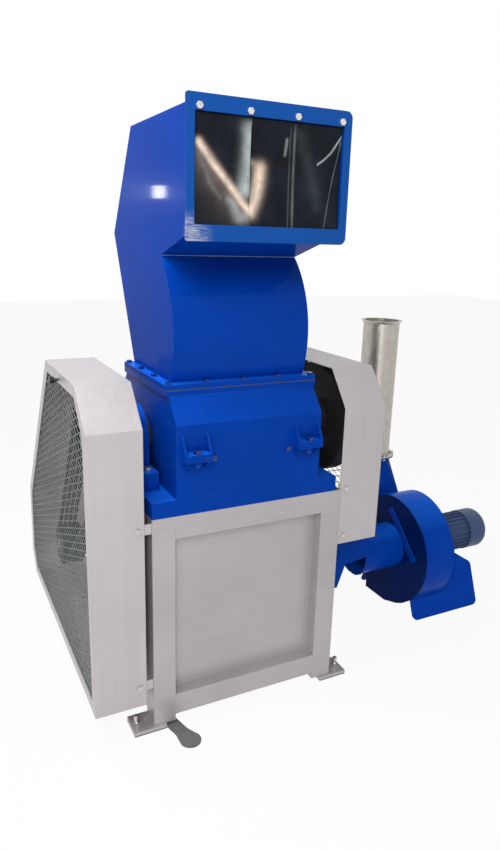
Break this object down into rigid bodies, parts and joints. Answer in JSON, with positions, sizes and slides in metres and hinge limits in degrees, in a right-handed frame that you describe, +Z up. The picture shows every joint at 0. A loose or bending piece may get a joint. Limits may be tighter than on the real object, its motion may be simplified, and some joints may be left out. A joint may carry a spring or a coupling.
{
  "type": "plastic granulator",
  "caption": "Plastic granulator with tilting feed hopper, knife rotor over a screen, belt drive under guards, and a suction blower with discharge pipe.",
  "frame": {"origin": "on the floor, midway between the four anchor holes, below the rotor axis", "axes": "+Z up, +X along the rotor shaft towards the flywheel and blower, -Y towards the feed mouth"},
  "size_m": [1.952, 1.2579, 1.931],
  "materials": {
    "stand_legs": "satin",
    "stand_rails": "satin",
    "front_panel": "satin",
    "side_panels": "satin",
    "foot_plates": "satin",
    "levelling_screws": "satin",
    "foot_pads": "matte",
    "base_plate": "gloss",
    "lower_chamber": "gloss",
    "bed_knives": "satin",
    "bed_knife_screws": "satin",
    "screen": "satin",
    "screen_cradle": "satin",
    "collecting_chute": "satin",
    "hinge_pins": "satin",
    "bearing_housings": "gloss",
    "bearing_rings": "satin",
    "bearing_bolts": "satin",
    "belt_guard": "satin",
    "guard_mesh": "satin",
    "guard_knob": "gloss",
    "guard_brackets": "satin",
    "guard_screws": "satin",
    "flywheel_guard": "satin",
    "motor_bed": "satin",
    "motor_body": "satin",
    "motor_cowl": "satin",
    "motor_terminal_box": "satin",
    "v_belts": "matte",
    "suction_duct": "gloss",
    "inlet_pipe": "gloss",
    "blower_casing": "gloss",
    "blower_side_plate": "gloss",
    "blower_pedestal": "gloss",
    "blower_motor": "satin",
    "blower_cowl": "satin",
    "discharge_hood": "gloss",
    "discharge_pipe": "satin",
    "discharge_bolts": "satin",
    "rotor_shaft": "satin",
    "rotor_discs": "satin",
    "rotor_knives": "satin",
    "knife_screws": "satin",
    "driven_pulley": "satin",
    "flywheel": "satin",
    "shaft_collars": "satin",
    "motor_pulley": "satin",
    "motor_shaft": "satin",
    "blower_impeller": "satin",
    "upper_chamber": "gloss",
    "hopper_gasket": "matte",
    "hopper_shell": "gloss",
    "hopper_bolts": "satin",
    "curtain_bar": "satin",
    "clamp_bolt_left": "gloss",
    "clamp_bolt_right": "gloss",
    "curtain_left": "gloss",
    "curtain_centre": "gloss",
    "curtain_right": "gloss"
  },
  "bodies": {
    "base": {"stand_legs": "stand_legs", "stand_rails": "stand_rails", "front_panel": "front_panel", "side_panels": "side_panels", "foot_plates": "foot_plates", "levelling_screws": "levelling_screws", "foot_pads": "foot_pads", "base_plate": "base_plate", "lower_chamber": "lower_chamber", "bed_knives": "bed_knives", "bed_knife_screws": "bed_knife_screws", "screen": "screen", "screen_cradle": "screen_cradle", "collecting_chute": "collecting_chute", "hinge_pins": "hinge_pins", "bearing_housings": "bearing_housings", "bearing_rings": "bearing_rings", "bearing_bolts": "bearing_bolts", "belt_guard": "belt_guard", "guard_mesh": "guard_mesh", "guard_knob": "guard_knob", "guard_brackets": "guard_brackets", "guard_screws": "guard_screws", "flywheel_guard": "flywheel_guard", "motor_bed": "motor_bed", "motor_body": "motor_body", "motor_cowl": "motor_cowl", "motor_terminal_box": "motor_terminal_box", "v_belts": "v_belts", "suction_duct": "suction_duct", "inlet_pipe": "inlet_pipe", "blower_casing": "blower_casing", "blower_side_plate": "blower_side_plate", "blower_pedestal": "blower_pedestal", "blower_motor": "blower_motor", "blower_cowl": "blower_cowl", "discharge_hood": "discharge_hood", "discharge_pipe": "discharge_pipe", "discharge_bolts": "discharge_bolts"},
    "rotor": {"rotor_shaft": "rotor_shaft", "rotor_discs": "rotor_discs", "rotor_knives": "rotor_knives", "knife_screws": "knife_screws", "driven_pulley": "driven_pulley", "flywheel": "flywheel", "shaft_collars": "shaft_collars"},
    "motor_drive": {"motor_pulley": "motor_pulley", "motor_shaft": "motor_shaft"},
    "fan_wheel": {"blower_impeller": "blower_impeller"},
    "hopper": {"upper_chamber": "upper_chamber", "hopper_gasket": "hopper_gasket", "hopper_shell": "hopper_shell", "hopper_bolts": "hopper_bolts", "curtain_bar": "curtain_bar"},
    "clamp_left": {"clamp_bolt_left": "clamp_bolt_left"},
    "clamp_right": {"clamp_bolt_right": "clamp_bolt_right"},
    "strip_left": {"curtain_left": "curtain_left"},
    "strip_centre": {"curtain_centre": "curtain_centre"},
    "strip_right": {"curtain_right": "curtain_right"}
  },
  "joints": [
    {"name": "rotor_spin", "type": "hinge", "parent": "base", "child": "rotor", "pos_m": [0, 0, 0.94], "axis": [1, 0, 0], "continuous": true},
    {"name": "motor_spin", "type": "hinge", "parent": "base", "child": "motor_drive", "pos_m": [0, 0.54, 0.335], "axis": [1, 0, 0], "continuous": true},
    {"name": "blower_spin", "type": "hinge", "parent": "base", "child": "fan_wheel", "pos_m": [0.96, 0.09, 0.28], "axis": [1, 0, 0], "continuous": true},
    {"name": "hopper_tilt", "type": "hinge", "parent": "base", "child": "hopper", "pos_m": [0, 0.302, 0.94], "axis": [-1, 0, 0], "range_deg": [0, 80]},
    {"name": "clamp_lift_left", "type": "slide", "parent": "hopper", "child": "clamp_left", "axis": [0, 0, 1], "range_m": [0, 0.045]},
    {"name": "clamp_lift_right", "type": "slide", "parent": "hopper", "child": "clamp_right", "axis": [0, 0, 1], "range_m": [0, 0.045]},
    {"name": "curtain_swing_left", "type": "hinge", "parent": "hopper", "child": "strip_left", "pos_m": [0, -0.3432, 1.8871], "axis": [1, 0, 0], "range_deg": [0, 60]},
    {"name": "curtain_swing_centre", "type": "hinge", "parent": "hopper", "child": "strip_centre", "pos_m": [0, -0.3432, 1.8871], "axis": [1, 0, 0], "range_deg": [0, 60]},
    {"name": "curtain_swing_right", "type": "hinge", "parent": "hopper", "child": "strip_right", "pos_m": [0, -0.3432, 1.8871], "axis": [1, 0, 0], "range_deg": [0, 60]}
  ],
  "couplings": [
    {"joint": "motor_spin", "follows": "rotor_spin", "ratio": 2.375}
  ]
}
